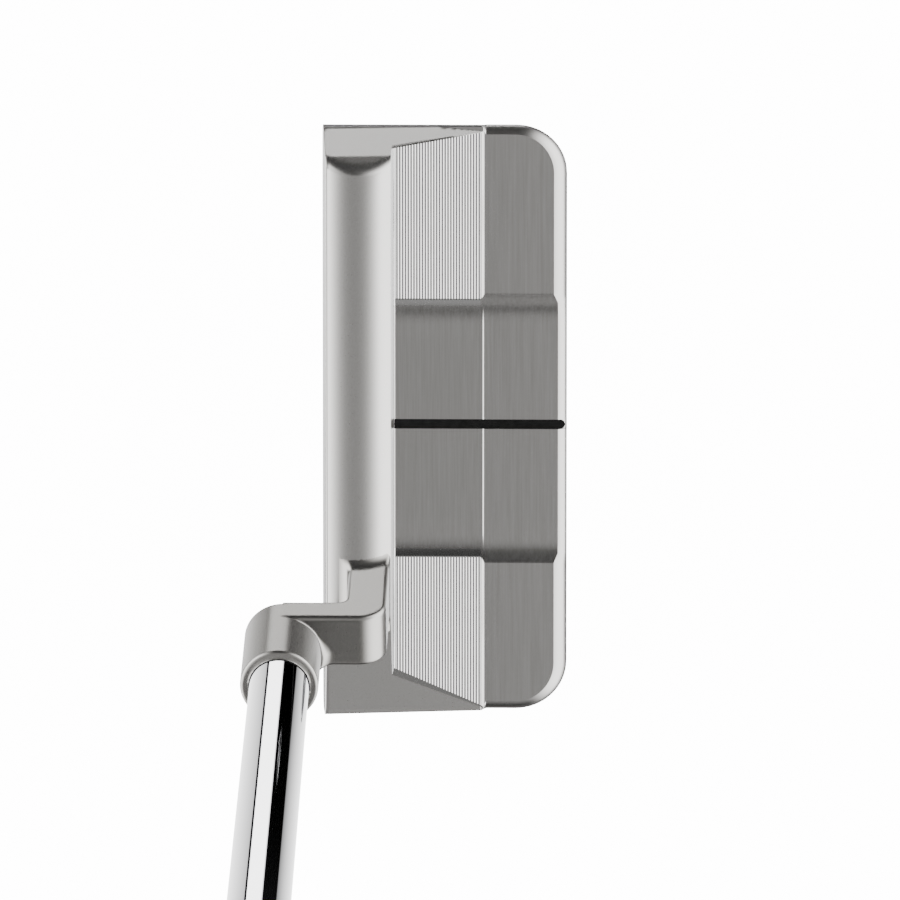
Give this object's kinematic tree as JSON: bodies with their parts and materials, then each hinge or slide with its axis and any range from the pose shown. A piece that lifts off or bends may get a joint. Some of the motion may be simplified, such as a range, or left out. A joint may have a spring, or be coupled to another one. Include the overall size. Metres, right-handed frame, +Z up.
{
  "type": "golf putter",
  "caption": "Right-handed golf putter: milled wide-blade steel head with channel and sight line, L-shaped neck, tapered chrome shaft and rubber pistol grip.",
  "frame": {"origin": "on the ground under the sole's flat, below the sight line, with the club soled at address", "axes": "+X towards the heel and the player, -X towards the toe, -Y towards the target (the face looks that way), +Y towards the rear flange, +Z up"},
  "size_m": [0.3859, 0.0618, 0.8153],
  "materials": {
    "milled_steel": "satin",
    "chrome": "mirror",
    "epoxy": "matte",
    "plug_nylon": "matte",
    "black_enamel": "satin",
    "weight_metal": "satin",
    "seal_rubber": "matte",
    "tape": "matte",
    "grip_rubber": "matte",
    "cap_plastic": "matte"
  },
  "bodies": {
    "putter": {"head_body": "milled_steel", "hosel_neck": "milled_steel", "shaft": "chrome", "shaft_epoxy": "epoxy", "shaft_tip_plug": "plug_nylon", "sight_line_paint": "black_enamel", "grip_tape": "tape", "grip_body": "grip_rubber", "grip_cap": "cap_plastic"},
    "toe_weight_seal": {"toe_weight_washer": "seal_rubber"},
    "toe_weight": {"toe_weight": "weight_metal"},
    "heel_weight_seal": {"heel_weight_washer": "seal_rubber"},
    "heel_weight": {"heel_weight": "weight_metal"}
  },
  "joints": [
    {"name": "toe_weight_travel", "type": "slide", "parent": "putter", "child": "toe_weight_seal", "axis": [0, 0, -1], "range_m": [0, 0.007]},
    {"name": "toe_weight_turn", "type": "hinge", "parent": "toe_weight_seal", "child": "toe_weight", "pos_m": [-0.038, 0.003, 0.0009], "axis": [0, 0, -1], "range_deg": [0, 2521]},
    {"name": "heel_weight_travel", "type": "slide", "parent": "putter", "child": "heel_weight_seal", "axis": [0, 0, -1], "range_m": [0, 0.007]},
    {"name": "heel_weight_turn", "type": "hinge", "parent": "heel_weight_seal", "child": "heel_weight", "pos_m": [0.036, 0.003, 0.0009], "axis": [0, 0, -1], "range_deg": [0, 2521]}
  ],
  "couplings": [
    {"joint": "toe_weight_turn", "follows": "toe_weight_travel", "rad_per_m": 6283.2},
    {"joint": "heel_weight_turn", "follows": "heel_weight_travel", "rad_per_m": 6283.2}
  ]
}
